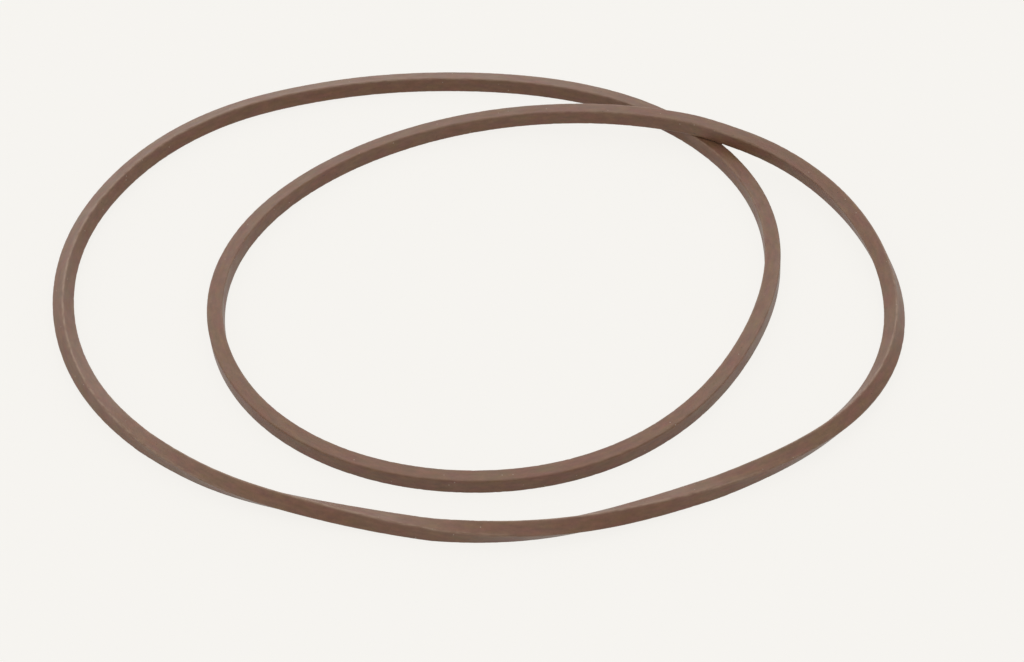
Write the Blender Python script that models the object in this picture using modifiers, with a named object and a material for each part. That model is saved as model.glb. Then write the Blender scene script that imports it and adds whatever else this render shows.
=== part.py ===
# Sealing ring of rounded square section, moulded as one endless piece of brown rubber.
# It is too large and limp to lie drawn out round, so it rests flat in two loops that cross once.
# The ring is first turned at its moulded size, and each of its points is then carried to the lay.

import math

import bpy
import numpy as np

# Ring as moulded, in metres.
BORE = 0.650
SECTION_WIDTH = 0.008
SECTION_HEIGHT = 0.008
EDGE_RADIUS = 0.0008

# Plan of the lay: distance of the strand from the middle of the lay every 30 degrees, in metres.
# Both loops run counter-clockwise and start at the near side. The strand cannot stretch, so the
# plan is brought to the ring's own length.
FIRST_LOOP = (
    0.1176, 0.1072, 0.1040, 0.1138, 0.1382, 0.1654, 0.1830, 0.2074, 0.2342, 0.2317, 0.2035, 0.1674,
)
SECOND_LOOP = (
    0.1537, 0.1496, 0.1665, 0.1788, 0.1759, 0.1609, 0.1527, 0.1518, 0.1549, 0.1564, 0.1484, 0.1327,
)
START_ANGLE = math.radians(-90)

# A ring that is folded into two loops has to roll once about its own strand. This is how far its
# top face has rolled outwards at the same places, in degrees. The easing is a share of both loops.
FIRST_ROLL = (0, 0, -2, -7, 2, 2, 8, 13, 16, 43, 95, 156)
SECOND_ROLL = (211, 263, 305, 325, 354, 361, 362, 367, 370, 368, 361, 360)
ROLL_EASING = 0.02

# Where the second pass lies over the first, it keeps this gap to it.
CROSSING_CLEARANCE = 0.0003

# How limp the strand is: the cube root of its bending stiffness over its weight for each metre.
# It sets how far from the crossing the upper strand touches down.
BENDING_LENGTH = 0.120

# Fineness of the facets.
EDGE_FACETS = 3
STATIONS = 300
PLAN_SAMPLES = 2880

MEAN_RADIUS = (BORE + SECTION_WIDTH) / 2
RING_LENGTH = 2 * math.pi * MEAN_RADIUS


def clear_scene():
    """Remove every object, so that the script can be run again in the same file."""
    for item in list(bpy.data.objects):
        bpy.data.objects.remove(item, do_unlink=True)


def section_outline():
    """Rounded rectangle about the middle of the section, from the top of the outer side downwards."""
    flat_across = SECTION_WIDTH / 2 - EDGE_RADIUS
    flat_upward = SECTION_HEIGHT / 2 - EDGE_RADIUS
    outline = []
    for quarter, (side, level) in enumerate(((1, 1), (1, -1), (-1, -1), (-1, 1))):
        for facet in range(EDGE_FACETS + 1):
            angle = math.pi / 2 * (1 - quarter - facet / EDGE_FACETS)
            outward = side * flat_across + EDGE_RADIUS * math.cos(angle)
            upward = level * flat_upward + EDGE_RADIUS * math.sin(angle)
            outline.append((outward, upward))
    return outline


def moulded_ring():
    """Turn the section about the ring's axis, as the mould forms it, and return the closed mesh."""
    outline = section_outline()
    profile = bpy.data.meshes.new("section_profile")
    corners = [(MEAN_RADIUS + outward, 0.0, upward) for outward, upward in outline]
    edges = [(corner, (corner + 1) % len(corners)) for corner in range(len(corners))]
    profile.from_pydata(corners, edges, [])

    moulded = bpy.data.objects.new("moulded_ring", profile)
    bpy.context.scene.collection.objects.link(moulded)
    turn = moulded.modifiers.new("turn", "SCREW")
    turn.axis = "Z"
    turn.angle = 2 * math.pi
    turn.steps = STATIONS
    turn.render_steps = STATIONS
    turn.use_merge_vertices = True
    turn.merge_threshold = 0.00001

    evaluated = moulded.evaluated_get(bpy.context.evaluated_depsgraph_get())
    mesh = bpy.data.meshes.new_from_object(evaluated)
    bpy.data.objects.remove(moulded, do_unlink=True)
    return mesh


def closed_curve(values, shares):
    """Smooth closed curve through evenly spaced values: the sum of their harmonics."""
    harmonics = np.fft.rfft(values) / len(values)
    order = np.arange(len(harmonics))
    weight = np.where((order == 0) | (order == len(values) / 2), 1, 2)
    waves = np.exp(2j * np.pi * np.outer(shares, order))
    return np.real(waves @ (weight * harmonics))


def eased_roll(turns):
    """Roll of the section in radians, straight between its places and rounded off at each of them."""
    rolled = np.radians(FIRST_ROLL + SECOND_ROLL + (FIRST_ROLL[0] + 360,))
    window = np.ones(int(ROLL_EASING * len(turns)) | 1)
    window = np.convolve(window, window) / window.sum() ** 2
    reach = len(window) // 2
    roll = np.interp(turns, np.linspace(0, 1, len(rolled)), rolled)
    padded = np.concatenate((roll[-reach:] - 2 * np.pi, roll, roll[:reach] + 2 * np.pi))
    return np.convolve(padded, window, mode="valid")


def half_extent(roll):
    """Distance from the middle of the section to its lowest point when it has rolled this far."""
    flat_across = SECTION_WIDTH / 2 - EDGE_RADIUS
    flat_upward = SECTION_HEIGHT / 2 - EDGE_RADIUS
    return flat_upward * np.abs(np.cos(roll)) + flat_across * np.abs(np.sin(roll)) + EDGE_RADIUS


def touchdown_length(lift):
    """Length of strand that hangs free on each side of a place that is lifted this high.

    A heavy beam on a flat floor, level where it is lifted: the fourth root of 72 lifts times
    the bending length cubed.
    """
    return (72 * lift * BENDING_LENGTH**3) ** 0.25


def crossing_lift(distance, crossing_angle):
    """Height of the upper strand over its rest on the floor, by its distance from the crossing.

    It runs level as far as the two strands overlap in plan, and then comes down as a beam that is
    bent by its own weight: with t from 0 at touchdown to 1 at the level part, 4t^3 - 3t^4.
    """
    lift = SECTION_HEIGHT + CROSSING_CLEARANCE
    level = SECTION_WIDTH / 2 / math.tan(crossing_angle / 2) + SECTION_WIDTH / 2
    fall = np.clip(1 - (distance - level) / touchdown_length(lift), 0, 1)
    return lift * (4 * fall**3 - 3 * fall**4)


def laid_path():
    """Centre line of the laid ring: share of the way round, place, direction and roll."""
    turns = np.arange(PLAN_SAMPLES) / PLAN_SAMPLES
    radius = closed_curve(FIRST_LOOP + SECOND_LOOP, turns)
    angle = START_ANGLE + 4 * np.pi * turns
    plan = np.stack((radius * np.cos(angle), radius * np.sin(angle)), axis=1)
    steps = np.linalg.norm(np.roll(plan, -1, axis=0) - plan, axis=1)
    plan = plan * RING_LENGTH / steps.sum()
    shares = np.concatenate(([0.0], np.cumsum(steps)[:-1])) / steps.sum()
    heading = np.roll(plan, -1, axis=0) - np.roll(plan, 1, axis=0)
    heading = heading / np.linalg.norm(heading, axis=1)[:, None]

    # The loops cross where both lie equally far from the middle in the same direction.
    loop = PLAN_SAMPLES // 2
    first_less_second = radius[:loop] - radius[loop:]
    lower = np.flatnonzero(np.diff(np.sign(first_less_second)))[0]
    upper = lower + loop
    crossing_angle = math.acos(float(heading[lower] @ heading[upper]))

    roll = eased_roll(turns)
    apart = np.abs(shares - shares[upper]) * RING_LENGTH
    height = half_extent(roll) + crossing_lift(apart, crossing_angle)
    centre = np.column_stack((plan, height))
    tangent = np.roll(centre, -1, axis=0) - np.roll(centre, 1, axis=0)
    tangent = tangent / np.linalg.norm(tangent, axis=1)[:, None]
    return shares, centre, tangent, roll


def lay_down(mesh):
    """Carry each point of the moulded ring to the lay, with its section square to the strand."""
    points = np.empty(len(mesh.vertices) * 3)
    mesh.vertices.foreach_get("co", points)
    x, y, upward = points.reshape(-1, 3).T
    outward = np.hypot(x, y) - MEAN_RADIUS
    share = np.arctan2(y, x) / (2 * np.pi) % 1

    shares, centre, tangent, roll = laid_path()

    def along(values, period=0.0):
        return np.interp(share, np.append(shares, 1.0), np.append(values, values[0] + period))

    middle = np.column_stack([along(column) for column in centre.T])
    forward = np.column_stack([along(column) for column in tangent.T])
    rolled = along(roll, 2 * np.pi)
    level = np.column_stack((forward[:, 1], -forward[:, 0], np.zeros(len(forward))))
    level = level / np.linalg.norm(level, axis=1)[:, None]
    above = np.cross(level, forward)
    sideways = outward * np.cos(rolled) + upward * np.sin(rolled)
    lifted = upward * np.cos(rolled) - outward * np.sin(rolled)
    laid = middle + sideways[:, None] * level + lifted[:, None] * above

    # The origin is at the middle of the lay's outline, on the floor.
    lowest = laid.min(axis=0)
    highest = laid.max(axis=0)
    laid -= ((lowest[0] + highest[0]) / 2, (lowest[1] + highest[1]) / 2, lowest[2])
    mesh.vertices.foreach_set("co", laid.ravel())
    mesh.update()


def rubber():
    """Brown sealing rubber: matt, with a slightly greasy sheen."""
    material = bpy.data.materials.new("brown_rubber")
    material.use_nodes = True
    shader = material.node_tree.nodes["Principled BSDF"]
    shader.inputs["Base Color"].default_value = (0.17, 0.098, 0.068, 1.0)
    shader.inputs["Roughness"].default_value = 0.55
    shader.inputs["Metallic"].default_value = 0.0
    return material


def sealing_ring():
    """The one piece: moulded, laid down, shaded and put in its collection."""
    mesh = moulded_ring()
    mesh.name = "sealing_ring"
    lay_down(mesh)
    mesh.materials.clear()
    mesh.materials.append(rubber())
    mesh.shade_smooth()
    mesh.set_sharp_from_angle(angle=math.radians(40))
    ring = bpy.data.objects.new("sealing_ring", mesh)
    parts = bpy.data.collections.new("sealing_ring")
    bpy.context.scene.collection.children.link(parts)
    parts.objects.link(ring)
    return ring


clear_scene()
sealing_ring()
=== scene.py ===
# A brown rubber sealing ring of rounded square section, lying flat in two loops on a pale table.
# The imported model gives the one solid. Here it gets its fine surface and its moulded rubber finish.

import math

import bpy
import numpy as np
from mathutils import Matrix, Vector


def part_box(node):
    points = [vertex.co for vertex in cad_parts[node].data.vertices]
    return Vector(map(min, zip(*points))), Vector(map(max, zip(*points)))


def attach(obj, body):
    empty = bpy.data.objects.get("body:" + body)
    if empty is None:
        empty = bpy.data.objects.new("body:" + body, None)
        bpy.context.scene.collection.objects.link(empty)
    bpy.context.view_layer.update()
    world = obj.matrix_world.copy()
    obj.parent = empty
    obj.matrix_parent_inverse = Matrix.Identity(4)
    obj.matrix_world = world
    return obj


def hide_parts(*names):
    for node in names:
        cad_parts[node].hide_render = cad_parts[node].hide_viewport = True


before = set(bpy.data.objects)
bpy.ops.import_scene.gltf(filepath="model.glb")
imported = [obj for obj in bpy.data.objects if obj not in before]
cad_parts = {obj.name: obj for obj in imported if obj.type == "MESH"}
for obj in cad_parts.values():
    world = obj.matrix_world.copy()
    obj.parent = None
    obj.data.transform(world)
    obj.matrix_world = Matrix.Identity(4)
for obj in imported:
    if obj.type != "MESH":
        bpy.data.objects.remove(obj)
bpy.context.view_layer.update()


# The camera. It stands on the near side and looks down on the lay through a long lens, so the far
# strands are hardly smaller than the near ones. Its aim lies on the table, a little to the right of
# the middle of the lay and nearer to the viewer.
CAMERA_AIM = Vector((0.01713, -0.02525, 0.0))
CAMERA_ELEVATION = math.radians(41.51)
CAMERA_DISTANCE = 1.7339
CAMERA_LENS_MM = 123.1
CAMERA_SENSOR_MM = 36.0

camera_data = bpy.data.cameras.new("camera")
camera_data.lens = CAMERA_LENS_MM
camera_data.sensor_width = CAMERA_SENSOR_MM
camera = bpy.data.objects.new("camera", camera_data)
camera.location = CAMERA_AIM + CAMERA_DISTANCE * Vector(
    (0.0, -math.cos(CAMERA_ELEVATION), math.sin(CAMERA_ELEVATION))
)
camera.rotation_euler = (math.pi / 2 - CAMERA_ELEVATION, 0.0, 0.0)
bpy.context.scene.collection.objects.link(camera)
bpy.context.scene.camera = camera
bpy.context.scene.view_settings.view_transform = "Standard"


# The table. A plain sheet of warm white card, far larger than the ring. What is seen of it, direct
# or mirrored in the rubber, is mostly an even glow, so it is almost free of shadow, as in the
# photograph. To all other light it is a plain white sheet that brightens the ring's sides.
TABLE_SIDE = 12.0
TABLE_COLOUR = (0.925, 0.908, 0.875, 1.0)
TABLE_GLOW = 0.938
TABLE_LIT_SHARE = 0.06
TABLE_BOUNCE = 0.90


def add_node(tree, kind, **values):
    """A shader node of this kind, with its properties or its named inputs set."""
    node = tree.nodes.new(kind)
    for name, value in values.items():
        if hasattr(node, name):
            setattr(node, name, value)
        else:
            node.inputs[name.replace("_", " ")].default_value = value
    return node


def table_material():
    """Even glow with a little diffuse where the table is seen or mirrored, else plain diffuse."""
    material = bpy.data.materials.new("warm_white_card")
    material.use_nodes = True
    tree = material.node_tree
    tree.nodes.clear()
    tint = [channel * TABLE_LIT_SHARE for channel in TABLE_COLOUR[:3]] + [1.0]
    plain = [channel * TABLE_BOUNCE for channel in TABLE_COLOUR[:3]] + [1.0]
    glow = add_node(tree, "ShaderNodeEmission", Color=TABLE_COLOUR, Strength=TABLE_GLOW)
    lit = add_node(tree, "ShaderNodeBsdfDiffuse", Color=tint)
    bounce = add_node(tree, "ShaderNodeBsdfDiffuse", Color=plain)
    seen = add_node(tree, "ShaderNodeAddShader")
    ray = add_node(tree, "ShaderNodeLightPath")
    watched = add_node(tree, "ShaderNodeMath", operation="MAXIMUM")
    choice = add_node(tree, "ShaderNodeMixShader")
    out = add_node(tree, "ShaderNodeOutputMaterial")
    tree.links.new(glow.outputs["Emission"], seen.inputs[0])
    tree.links.new(lit.outputs["BSDF"], seen.inputs[1])
    tree.links.new(ray.outputs["Is Camera Ray"], watched.inputs[0])
    tree.links.new(ray.outputs["Is Glossy Ray"], watched.inputs[1])
    tree.links.new(watched.outputs["Value"], choice.inputs["Fac"])
    tree.links.new(bounce.outputs["BSDF"], choice.inputs[1])
    tree.links.new(seen.outputs["Shader"], choice.inputs[2])
    tree.links.new(choice.outputs["Shader"], out.inputs["Surface"])
    return material


table_half = TABLE_SIDE / 2
table_corners = [
    (-table_half, -table_half, 0.0),
    (table_half, -table_half, 0.0),
    (table_half, table_half, 0.0),
    (-table_half, table_half, 0.0),
]
table_mesh = bpy.data.meshes.new("table")
table_mesh.from_pydata(table_corners, [], [(0, 1, 2, 3)])
table_mesh.materials.append(table_material())
table = bpy.data.objects.new("table", table_mesh)
bpy.context.scene.collection.objects.link(table)


# The light. A white room without any lamp in it: a wide bright window wall behind the ring, a
# lighter left side and ceiling, and a dim side where the camera stands. So the upper faces shine
# and the near ones stay deep brown.
ROOM_COLOUR = (1.0, 0.985, 0.96, 1.0)
ROOM_BASE = 0.47
ROOM_CEILING = 0.65
ROOM_BEHIND = 1.38
ROOM_LEFT = 0.26


def white_room():
    """Even light plus three broad lobes, each the square of how far a direction points its way."""
    room = bpy.data.worlds.new("white_room")
    room.use_nodes = True
    tree = room.node_tree
    background = tree.nodes["Background"]
    background.inputs["Color"].default_value = ROOM_COLOUR
    direction = add_node(tree, "ShaderNodeTexCoord")
    split = add_node(tree, "ShaderNodeSeparateXYZ")
    tree.links.new(direction.outputs["Generated"], split.inputs["Vector"])
    lobes = (("Z", 1.0, ROOM_CEILING), ("Y", 1.0, ROOM_BEHIND), ("X", -1.0, ROOM_LEFT))
    total = None
    for axis, side, strength in lobes:
        toward = add_node(tree, "ShaderNodeMath", operation="MULTIPLY")
        toward.inputs[1].default_value = side
        toward.use_clamp = True
        squared = add_node(tree, "ShaderNodeMath", operation="MULTIPLY")
        lobe = add_node(tree, "ShaderNodeMath", operation="MULTIPLY_ADD")
        lobe.inputs[1].default_value = strength
        tree.links.new(split.outputs[axis], toward.inputs[0])
        tree.links.new(toward.outputs["Value"], squared.inputs[0])
        tree.links.new(toward.outputs["Value"], squared.inputs[1])
        tree.links.new(squared.outputs["Value"], lobe.inputs[0])
        if total is None:
            lobe.inputs[2].default_value = ROOM_BASE
        else:
            tree.links.new(total, lobe.inputs[2])
        total = lobe.outputs["Value"]
    tree.links.new(total, background.inputs["Strength"])
    return room


bpy.context.scene.world = white_room()


# The ring. One endless piece of brown fluoroelastomer, moulded round at 650 mm bore with an 8 mm
# square section, and laid down in two loops. Folding it so makes the section roll once right round
# its own strand along the outer loop, and the strand pass over itself once at the far right.
BORE = 0.650
SECTION = 0.008
EDGE_RADIUS = 0.0008
MEAN_RADIUS = (BORE + SECTION) / 2
RING_LENGTH = 2 * math.pi * MEAN_RADIUS

# The lay: how far the strand lies from the middle every 30 degrees, in metres, and how far the top
# of its section has rolled outwards there, in degrees. Both loops run counter-clockwise from the
# near side. The easing of the roll is a share of both loops.
FIRST_LOOP = (
    0.1176, 0.1072, 0.1040, 0.1138, 0.1382, 0.1654, 0.1830, 0.2074, 0.2342, 0.2317, 0.2035, 0.1674,
)
SECOND_LOOP = (
    0.1537, 0.1496, 0.1665, 0.1788, 0.1759, 0.1609, 0.1527, 0.1518, 0.1549, 0.1564, 0.1484, 0.1327,
)
START_ANGLE = math.radians(-90)
FIRST_ROLL = (0, 0, -2, -7, 2, 2, 8, 13, 16, 43, 95, 156)
SECOND_ROLL = (211, 263, 305, 325, 354, 361, 362, 367, 370, 368, 361, 360)
ROLL_EASING = 0.02
PLAN_SAMPLES = 5760

# The crossing: the gap between the strands, how limp the upper one is as it comes down, and how far
# outwards the two press each other. Reach is along the strand, and Past is how far beyond the
# crossing the upper one is pushed most.
CROSSING_CLEARANCE = 0.0003
BENDING_LENGTH = 0.120
UPPER_PUSH = 0.00125
UPPER_PUSH_REACH = 0.013
UPPER_PUSH_PAST = 0.0055
LOWER_PUSH = -0.00055
LOWER_PUSH_REACH = 0.031

# Places on the left and near side where the limp strand lies a little in or out of its smooth plan:
# share of the way round, how far outwards, and how far each bulge reaches.
BULGES = (
    (0.2629, -0.00048, 0.0219),
    (0.2849, 0.00046, 0.0300),
    (0.3249, -0.00059, 0.0279),
    (0.4305, -0.00100, 0.0276),
    (0.4466, 0.00075, 0.0246),
)

# Fineness: stations along the strand, steps round each edge, and places across each flat. Each
# point belongs to its edge by a share: 1 in mid-arc and ARC_END_SHARE at the arc's ends. On the
# flats it is FLAT_END_SHARE beside the arc and falls by FLAT_FALL for each whole width.
STATIONS = 2400
EDGE_STEPS = 6
FLAT_PLACES = (0.07, 0.50, 0.93)
ARC_END_SHARE = 0.4
FLAT_END_SHARE = 0.3
FLAT_FALL = 3.0

# The moulded faces are faintly uneven, in waves: how many along the ring, how many round the
# section, phase, and what their size is divided by. The offset keeps them inside the solid.
UNEVENNESS = 0.000025
UNEVEN_OFFSET = 1.1
UNEVEN_WAVES = ((17, 1, 0.4, 3), (41, 2, 1.9, 3), (97, 3, 2.6, 6), (233, 1, 5.1, 6))

# Wear: how deep it bites into the edges, how steeply it fades to the arc's ends, and the first,
# last and step of its numbers of waves. The edges are rubbed most, and get most of the painted
# highlight, at one share of the way round.
EDGE_WEAR = 0.00007
WEAR_FADE = 1.7
WEAR_WAVES = (120, 750, 5)
WEAR_WAVE_SIZES = (0.3, 1.0)
WEAR_SEED = 7
MOST_RUBBED_AND_HIGHLIT = 0.45
RUBBED_AND_HIGHLIT_MEAN = 0.6
RUBBED_AND_HIGHLIT_SWING = 0.4


def closed_curve(values, shares):
    """Smooth closed curve through evenly spaced values: the sum of their harmonics."""
    harmonics = np.fft.rfft(values) / len(values)
    order = np.arange(len(harmonics))
    weight = np.where((order == 0) | (order == len(values) / 2), 1, 2)
    waves = np.exp(2j * np.pi * np.outer(shares, order))
    return np.real(waves @ (weight * harmonics))


def bell(distance, reach):
    """Smooth bell: e to the power of minus half the square of distance over reach."""
    return np.exp(-0.5 * (distance / reach) ** 2)


def eased_roll(turns):
    """Roll of the section: straight between its values at the places of the plan, then smoothed."""
    rolled = np.radians(FIRST_ROLL + SECOND_ROLL + (FIRST_ROLL[0] + 360,))
    window = np.ones(int(ROLL_EASING * len(turns)) | 1)
    window = np.convolve(window, window) / window.sum() ** 2
    reach = len(window) // 2
    roll = np.interp(turns, np.linspace(0, 1, len(rolled)), rolled)
    padded = np.concatenate((roll[-reach:] - 2 * np.pi, roll, roll[:reach] + 2 * np.pi))
    return np.convolve(padded, window, mode="valid")


def crossing_lift(distance, crossing_angle):
    """Lift of the upper strand: level over the lower one, then down to the table as a heavy beam
    on a flat floor comes down: with t from 0 at touchdown to 1 at the level part, 4t^3 - 3t^4."""
    lift = SECTION + CROSSING_CLEARANCE
    level = SECTION / 2 / math.tan(crossing_angle / 2) + SECTION / 2
    ramp = (72 * lift * BENDING_LENGTH**3) ** 0.25
    fall = np.clip(1 - (distance - level) / ramp, 0, 1)
    return lift * (4 * fall**3 - 3 * fall**4)


def laid_path():
    """Centre line as laid: polar distances at even angles over two turns, brought to the ring's
    length, pushed aside in smooth bells, and raised by half the rolled section's height and by the
    crossing's lift. Returns share of the way round, place, direction and roll."""
    turns = np.arange(PLAN_SAMPLES) / PLAN_SAMPLES
    radius = closed_curve(FIRST_LOOP + SECOND_LOOP, turns)
    angle = START_ANGLE + 4 * np.pi * turns
    plan = np.stack((radius * np.cos(angle), radius * np.sin(angle)), axis=1)
    steps = np.linalg.norm(np.roll(plan, -1, axis=0) - plan, axis=1)
    plan = plan * RING_LENGTH / steps.sum()
    shares = np.concatenate(([0.0], np.cumsum(steps)[:-1])) / steps.sum()
    heading = np.roll(plan, -1, axis=0) - np.roll(plan, 1, axis=0)
    heading = heading / np.linalg.norm(heading, axis=1)[:, None]

    # The loops cross where both lie equally far from the middle in the same direction.
    loop = PLAN_SAMPLES // 2
    lower = np.flatnonzero(np.diff(np.sign(radius[:loop] - radius[loop:])))[0]
    upper = lower + loop
    crossing_angle = math.acos(float(heading[lower] @ heading[upper]))

    # The limp strands press each other aside there: the upper one outwards by just over 1 mm, and
    # the lower one inwards by half as much.
    outwards = np.column_stack((heading[:, 1], -heading[:, 0]))
    from_upper = (shares - shares[upper]) * RING_LENGTH
    from_lower = (shares - shares[lower]) * RING_LENGTH
    pushed = UPPER_PUSH * bell(from_upper - UPPER_PUSH_PAST, UPPER_PUSH_REACH)
    pushed += LOWER_PUSH * bell(from_lower, LOWER_PUSH_REACH)
    for place, bulge, reach in BULGES:
        pushed += bulge * bell((shares - place) * RING_LENGTH, reach)
    plan = plan + pushed[:, None] * outwards

    roll = eased_roll(turns)
    flat = SECTION / 2 - EDGE_RADIUS
    rest = flat * (np.abs(np.cos(roll)) + np.abs(np.sin(roll))) + EDGE_RADIUS
    lift = crossing_lift(np.abs(from_upper), crossing_angle)
    centre = np.column_stack((plan, rest + lift))
    tangent = np.roll(centre, -1, axis=0) - np.roll(centre, 1, axis=0)
    tangent = tangent / np.linalg.norm(tangent, axis=1)[:, None]
    return shares, centre, tangent, roll


def section_outline():
    """Rounded square, clockwise from the top of its outer side: for each quarter an arc of the edge
    radius and then the flat up to the next arc. The third column is each point's share in an edge,
    and the fourth is the number of that edge."""
    flat = SECTION / 2 - EDGE_RADIUS
    turned = np.linspace(0, math.pi / 2, EDGE_STEPS + 1)
    arc_share = ARC_END_SHARE + (1 - ARC_END_SHARE) * np.sin(2 * turned)
    along = np.array(FLAT_PLACES)
    flat_share = np.clip(FLAT_END_SHARE - FLAT_FALL * np.minimum(along, 1 - along), 0, 1)
    quarters = []
    for quarter in range(4):
        facing = math.pi / 2 * (1 - quarter)
        diagonal = facing - math.pi / 4
        corner = flat * math.sqrt(2) * np.array([math.cos(diagonal), math.sin(diagonal)])
        bend = np.stack((np.cos(facing - turned), np.sin(facing - turned)), axis=1) * EDGE_RADIUS
        bend = bend + corner
        outside = np.array([math.cos(facing - math.pi / 2), math.sin(facing - math.pi / 2)])
        onward = np.array([outside[1], -outside[0]])
        side = bend[-1] + np.outer(along * 2 * flat, onward)
        nearest = np.where(along < 0.5, quarter, (quarter + 1) % 4)
        quarters.append(np.column_stack((bend, arc_share, np.full(len(bend), quarter))))
        quarters.append(np.column_stack((side, flat_share, nearest)))
    return np.concatenate(quarters)


def edge_wear():
    """Depth worn off each of the four edges at each station, from 0 to 1: many fine waves of fixed
    but irregular phase along the strand, of which only the upper half shows."""
    chance = np.random.default_rng(WEAR_SEED)
    counts = np.arange(*WEAR_WAVES)
    turn = 2 * np.pi * np.arange(STATIONS)[:, None] / STATIONS * counts
    phases = chance.uniform(0, 2 * np.pi, (4, 1, len(counts)))
    sizes = chance.uniform(*WEAR_WAVE_SIZES, (4, 1, len(counts))) / np.sqrt(counts)
    waves = (sizes * np.sin(turn + phases)).sum(axis=2)
    return np.clip(waves.T / (2 * waves.std()), 0, 1)


def ring_surface():
    """Grid of points, stations on the strand by points of the section, and what the finish needs.

    Each point is centre + sideways * (outward cos r + upward sin r) + above * (upward cos r -
    outward sin r), where r is the roll. The moulded faces are faintly uneven: a sum of slow waves
    along the strand, with another phase on each side of the section, takes up to 0.05 mm off. Wear
    takes up to 0.1 mm more off the edges, here and there.
    """
    shares, centre, tangent, roll = laid_path()
    station = np.arange(STATIONS) / STATIONS
    knots = np.append(shares, 1.0)

    def along(values, period=0.0):
        return np.interp(station, knots, np.append(values, values[0] + period))

    middle = np.column_stack([along(column) for column in centre.T])
    forward = np.column_stack([along(column) for column in tangent.T])
    rolled = along(roll, 2 * np.pi)[:, None]
    level = np.column_stack((forward[:, 1], -forward[:, 0], np.zeros(STATIONS)))
    level = level / np.linalg.norm(level, axis=1)[:, None]
    above = np.cross(level, forward)

    outline = section_outline()
    edge_share = outline[:, 2]
    edge_number = outline[:, 3].astype(int)
    around = np.arctan2(outline[:, 1], outline[:, 0])
    turn = 2 * np.pi * station[:, None]
    waves = sum(
        np.sin(turn * count + around * lobes + phase) / divisor
        for count, lobes, phase, divisor in UNEVEN_WAVES
    )
    worn = edge_wear()[:, edge_number] * np.clip(WEAR_FADE * edge_share - (WEAR_FADE - 1), 0, 1)
    taken = 1 - (UNEVENNESS * (UNEVEN_OFFSET + waves) + EDGE_WEAR * worn) / (SECTION / 2)
    outward = outline[:, 0] * taken
    upward = outline[:, 1] * taken
    sideways = outward * np.cos(rolled) + upward * np.sin(rolled)
    lifted = upward * np.cos(rolled) - outward * np.sin(rolled)
    points = middle[:, None] + sideways[..., None] * level[:, None]
    points = points + lifted[..., None] * above[:, None]

    # The strand's place in the round mould: on the mean circle, and across the section.
    circle = np.stack((np.cos(turn[:, 0]), np.sin(turn[:, 0])), axis=1) * MEAN_RADIUS
    mould = np.zeros(points.shape)
    mould[..., :2] = circle[:, None]
    mould[..., 2] = outline[:, 1]
    across = np.broadcast_to(outline[:, 0], points.shape[:2])

    # The edges of the outer loop are rubbed more, and get more painted highlight, than those on the
    # near side of the inner one.
    rubbing_and_highlight_share = RUBBED_AND_HIGHLIT_MEAN + RUBBED_AND_HIGHLIT_SWING * np.cos(2 * np.pi * (station - MOST_RUBBED_AND_HIGHLIT))
    edge = edge_share * rubbing_and_highlight_share[:, None]

    # How far each point faces up: the level of its own place in the section, as it has rolled.
    # It places the painted highlight on the edges that face up.
    upturned = np.clip(lifted / (SECTION / 2), 0, 1)
    return points, mould, across, edge, upturned


def ring_mesh():
    """The grid of points as quads that close on themselves both ways, with the finish's attributes.
    It is centred in the box of the solid that it replaces, and stands on the same floor."""
    points, mould, across, edge, upturned = ring_surface()
    low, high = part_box("sealing_ring")
    own_low, own_high = points.min(axis=(0, 1)), points.max(axis=(0, 1))
    shift = (np.array(low) + np.array(high) - own_low - own_high) / 2
    shift[2] = low[2] - own_low[2]
    points = points + shift

    count = points.shape[1]
    here, beside = np.arange(STATIONS)[:, None], np.arange(count)[None]
    ahead, next_beside = (here + 1) % STATIONS, (beside + 1) % count
    corners = ((here, beside), (here, next_beside), (ahead, next_beside), (ahead, beside))
    faces = np.stack([row * count + place for row, place in corners], axis=-1).reshape(-1, 4)

    mesh = bpy.data.meshes.new("sealing_ring_surface")
    mesh.from_pydata(points.reshape(-1, 3), [], faces)
    for name, kind, field, values in (
        ("mould_place", "FLOAT_VECTOR", "vector", mould),
        ("across_place", "FLOAT", "value", across),
        ("edge", "FLOAT", "value", edge),
        ("upturned", "FLOAT", "value", upturned),
    ):
        mesh.attributes.new(name, kind, "POINT").data.foreach_set(field, values.ravel())
    mesh.shade_smooth()
    mesh.update()
    return mesh


# The rubber. A filled brown compound straight from the mould: matt with a faint sheen, fine grain,
# flow marks that run along the strand, edges rubbed a little smoother by handling and given a
# painted highlight of pale colour where they face up, and a few pale specks of dust and dark pits.
RUBBER_RED = (0.175, 0.0710, 0.0445, 1.0)
RUBBER_OLIVE = (0.153, 0.0860, 0.0430, 1.0)
RUBBER_PINK = (0.172, 0.0725, 0.0525, 1.0)
RUBBER_OCHRE = (0.160, 0.0845, 0.0345, 1.0)
# The pale edge colour is a painted highlight, put on the up-facing edges only.
PAINTED_EDGE_HIGHLIGHT = (0.290, 0.190, 0.134, 1.0)
SPECK_PALE = (0.345, 0.270, 0.212, 1.0)
PIT_DARK = (0.070, 0.034, 0.020, 1.0)

# Noises of the finish: marks for each metre along the strand and across it, and detail.
PATCHES = (90.0, 200.0, 2.0)
STAINS = (120.0, 300.0, 3.0)
TONE = (150.0, 500.0, 4.0)
FLOW = (70.0, 1500.0, 3.0)
GRAIN = (700.0, 900.0, 2.0)
RUBBING = (230.0, 700.0, 2.0)

# Specks: cells for each metre, radius in cells, and share of the cells that have one. The inner
# part of a speck is at its full strength.
DUST = (400.0, 0.14, 0.10)
PITS = (310.0, 0.11, 0.12)
SPECK_FULL_SHARE = 0.6

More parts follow.
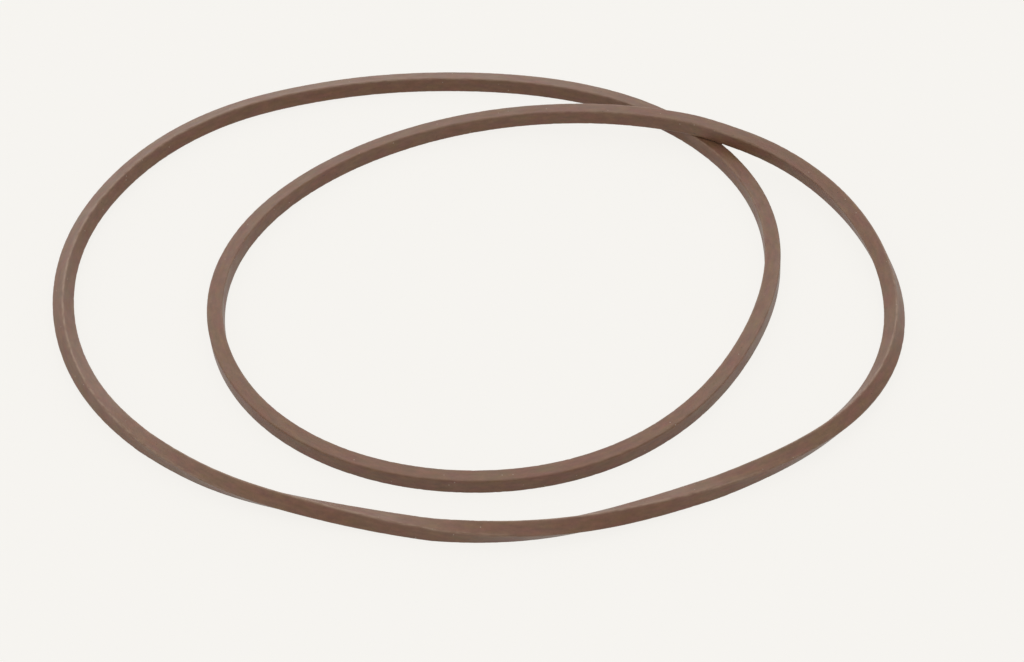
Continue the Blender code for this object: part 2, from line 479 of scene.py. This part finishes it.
# Each pair is what a noise is read between, or what it is turned into.
MIDDLE_READ = (0.35, 0.65)
WIDE_READ = (0.3, 0.7)
GRAIN_READ = (0.2, 0.8)
RUBBING_READ = (0.38, 0.60)
RUBBED_AMOUNT = (0.35, 1.0)
UPTURNED_READ = (0.0, 0.9)
# The last pair sets how strong the painted highlight is on the edges.
PAINTED_HIGHLIGHT_AMOUNT = (0.15, 0.95)
STAIN_AMOUNT = (0.15, 0.85)
TONE_SHADE = (0.85, 1.15)
GRAIN_SHADE = (0.88, 1.12)
ROUGHNESS = (0.43, 0.53)
GRAIN_ROUGHNESS = (-0.05, 0.05)
RUBBED_SMOOTHER = 0.10
RUBBER_SHEEN = 0.05
SHEEN_ROUGHNESS = 0.4

# Relief: metres of depth for 1, and how much each mark raises the surface.
RELIEF_DEPTH = 0.00003
GRAIN_RELIEF = 0.5
FLOW_RELIEF = 0.6
TONE_RELIEF = 2.0
DUST_RELIEF = 1.5
PIT_RELIEF = 2.0


def new_group(name, inputs, outputs):
    """An empty shader node group with these named float inputs and outputs."""
    group = bpy.data.node_groups.new(name, "ShaderNodeTree")
    for label, value in inputs.items():
        socket = group.interface.new_socket(label, in_out="INPUT", socket_type="NodeSocketFloat")
        socket.default_value = value
    for label in outputs:
        group.interface.new_socket(label, in_out="OUTPUT", socket_type="NodeSocketFloat")
    return group, group.nodes.new("NodeGroupInput"), group.nodes.new("NodeGroupOutput")


def strand_noise_group():
    """Noise that follows the strand: stretched along it, and without a seam where the ring closes.

    Four coordinates: the place on the mean circle times Along, and the height and the depth in the
    section times Across, both in marks for each metre.
    """
    inputs = {"Along": 20.0, "Across": 400.0, "Detail": 2.0}
    group, given, result = new_group("strand_noise", inputs, ["Amount"])
    place = add_node(group, "ShaderNodeAttribute", attribute_name="mould_place")
    depth = add_node(group, "ShaderNodeAttribute", attribute_name="across_place")
    split = add_node(group, "ShaderNodeSeparateXYZ")
    joined = add_node(group, "ShaderNodeCombineXYZ")
    group.links.new(place.outputs["Vector"], split.inputs["Vector"])
    for axis, rate in (("X", "Along"), ("Y", "Along"), ("Z", "Across")):
        scaled = add_node(group, "ShaderNodeMath", operation="MULTIPLY")
        group.links.new(split.outputs[axis], scaled.inputs[0])
        group.links.new(given.outputs[rate], scaled.inputs[1])
        group.links.new(scaled.outputs["Value"], joined.inputs[axis])
    deep = add_node(group, "ShaderNodeMath", operation="MULTIPLY")
    group.links.new(depth.outputs["Fac"], deep.inputs[0])
    group.links.new(given.outputs["Across"], deep.inputs[1])
    noise = add_node(group, "ShaderNodeTexNoise", noise_dimensions="4D", Scale=1.0)
    group.links.new(joined.outputs["Vector"], noise.inputs["Vector"])
    group.links.new(deep.outputs["Value"], noise.inputs["W"])
    group.links.new(given.outputs["Detail"], noise.inputs["Detail"])
    group.links.new(noise.outputs["Fac"], result.inputs["Amount"])
    return group


def speck_group():
    """Small round specks: 1 in the middle of scattered points, and 0 beyond Radius, in cells. Only
    the cells whose own random number is below Share have one."""
    inputs = {"Cells": 150.0, "Radius": 0.1, "Share": 0.3}
    group, given, result = new_group("specks", inputs, ["Mask"])
    place = add_node(group, "ShaderNodeTexCoord")
    cells = add_node(group, "ShaderNodeTexVoronoi", feature="F1")
    edge = add_node(group, "ShaderNodeMapRange", To_Min=1.0, To_Max=0.0)
    inner = add_node(group, "ShaderNodeMath", operation="MULTIPLY")
    inner.inputs[1].default_value = SPECK_FULL_SHARE
    number = add_node(group, "ShaderNodeSeparateColor")
    chosen = add_node(group, "ShaderNodeMath", operation="LESS_THAN")
    both = add_node(group, "ShaderNodeMath", operation="MULTIPLY")
    group.links.new(place.outputs["Object"], cells.inputs["Vector"])
    group.links.new(given.outputs["Cells"], cells.inputs["Scale"])
    group.links.new(cells.outputs["Distance"], edge.inputs["Value"])
    group.links.new(given.outputs["Radius"], edge.inputs["From Max"])
    group.links.new(given.outputs["Radius"], inner.inputs[0])
    group.links.new(inner.outputs["Value"], edge.inputs["From Min"])
    group.links.new(cells.outputs["Color"], number.inputs["Color"])
    group.links.new(number.outputs["Red"], chosen.inputs[0])
    group.links.new(given.outputs["Share"], chosen.inputs[1])
    group.links.new(edge.outputs["Result"], both.inputs[0])
    group.links.new(chosen.outputs["Value"], both.inputs[1])
    group.links.new(both.outputs["Value"], result.inputs["Mask"])
    return group


def rubber_material():
    """Moulded brown rubber: colour, gloss and relief from the two groups and the attributes."""
    material = bpy.data.materials.new("moulded_brown_rubber")
    material.use_nodes = True
    tree = material.node_tree
    shader = tree.nodes["Principled BSDF"]
    link = tree.links.new
    strand_noise = strand_noise_group()
    specks = speck_group()

    def placed(group, labels, values, output):
        node = add_node(tree, "ShaderNodeGroup", node_tree=group)
        for label, value in zip(labels, values):
            node.inputs[label].default_value = value
        return node.outputs[output]

    def noise(values):
        return placed(strand_noise, ("Along", "Across", "Detail"), values, "Amount")

    def scattered(values):
        return placed(specks, ("Cells", "Radius", "Share"), values, "Mask")

    def remap(value, read, turned_into):
        node = add_node(tree, "ShaderNodeMapRange")
        for label, number in zip(("From Min", "From Max", "To Min", "To Max"), read + turned_into):
            node.inputs[label].default_value = number
        link(value, node.inputs["Value"])
        return node.outputs["Result"]

    def blend(amount, first, second):
        node = add_node(tree, "ShaderNodeMix", data_type="RGBA")
        colour_sockets = [socket for socket in node.inputs if socket.type == "RGBA"]
        colour_result = [socket for socket in node.outputs if socket.type == "RGBA"][0]
        link(amount, node.inputs["Factor"])
        for socket, colour in zip(colour_sockets, (first, second)):
            if isinstance(colour, tuple):
                socket.default_value = colour
            else:
                link(colour, socket)
        return colour_result

    def arithmetic(operation, first, second):
        node = add_node(tree, "ShaderNodeMath", operation=operation)
        for socket, value in zip(node.inputs, (first, second)):
            if isinstance(value, float):
                socket.default_value = value
            else:
                link(value, socket)
        return node.outputs["Value"]

    edge = add_node(tree, "ShaderNodeAttribute", attribute_name="edge").outputs["Fac"]
    upturned = add_node(tree, "ShaderNodeAttribute", attribute_name="upturned").outputs["Fac"]
    patches = noise(PATCHES)
    stains = noise(STAINS)
    tone = noise(TONE)
    flow = noise(FLOW)
    grain = noise(GRAIN)
    rubbed = arithmetic("MULTIPLY", edge, remap(noise(RUBBING), RUBBING_READ, RUBBED_AMOUNT))
    # Painted highlight: the rubbed edges get a paler colour only where they face up.
    painted_highlight = arithmetic("MULTIPLY", rubbed, remap(upturned, UPTURNED_READ, PAINTED_HIGHLIGHT_AMOUNT))
    dust = scattered(DUST)
    pits = scattered(PITS)

    brown = blend(remap(patches, MIDDLE_READ, (0.0, 1.0)), RUBBER_OLIVE, RUBBER_RED)
    other = blend(remap(stains, MIDDLE_READ, (0.0, 1.0)), RUBBER_OCHRE, RUBBER_PINK)
    brown = blend(remap(flow, WIDE_READ, STAIN_AMOUNT), brown, other)
    tone_shade = remap(tone, WIDE_READ, TONE_SHADE)
    grain_shade = remap(grain, GRAIN_READ, GRAIN_SHADE)
    toned = add_node(tree, "ShaderNodeVectorMath", operation="SCALE")
    link(brown, toned.inputs[0])
    link(arithmetic("MULTIPLY", tone_shade, grain_shade), toned.inputs["Scale"])
    # The painted highlight of the edges is blended in here.
    coloured = blend(painted_highlight, toned.outputs["Vector"], PAINTED_EDGE_HIGHLIGHT)
    coloured = blend(pits, coloured, PIT_DARK)
    coloured = blend(dust, coloured, SPECK_PALE)
    link(coloured, shader.inputs["Base Color"])

    roughness = remap(patches, WIDE_READ, ROUGHNESS)
    roughness = arithmetic("ADD", roughness, remap(grain, GRAIN_READ, GRAIN_ROUGHNESS))
    smoother = arithmetic("MULTIPLY", rubbed, RUBBED_SMOOTHER)
    link(arithmetic("SUBTRACT", roughness, smoother), shader.inputs["Roughness"])
    shader.inputs["Sheen Weight"].default_value = RUBBER_SHEEN
    shader.inputs["Sheen Roughness"].default_value = SHEEN_ROUGHNESS

    relief = arithmetic("MULTIPLY", grain, GRAIN_RELIEF)
    for operation, mark, amount in (
        ("ADD", flow, FLOW_RELIEF),
        ("ADD", tone, TONE_RELIEF),
        ("ADD", dust, DUST_RELIEF),
        ("SUBTRACT", pits, PIT_RELIEF),
    ):
        relief = arithmetic(operation, relief, arithmetic("MULTIPLY", mark, amount))
    bump = add_node(tree, "ShaderNodeBump", Strength=1.0, Distance=RELIEF_DEPTH)
    link(relief, bump.inputs["Height"])
    link(bump.outputs["Normal"], shader.inputs["Normal"])
    return material


ring_surface_mesh = ring_mesh()
ring_surface_mesh.materials.append(rubber_material())
ring = bpy.data.objects.new("sealing_ring_surface", ring_surface_mesh)
bpy.context.scene.collection.objects.link(ring)
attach(ring, "root")
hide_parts("sealing_ring")
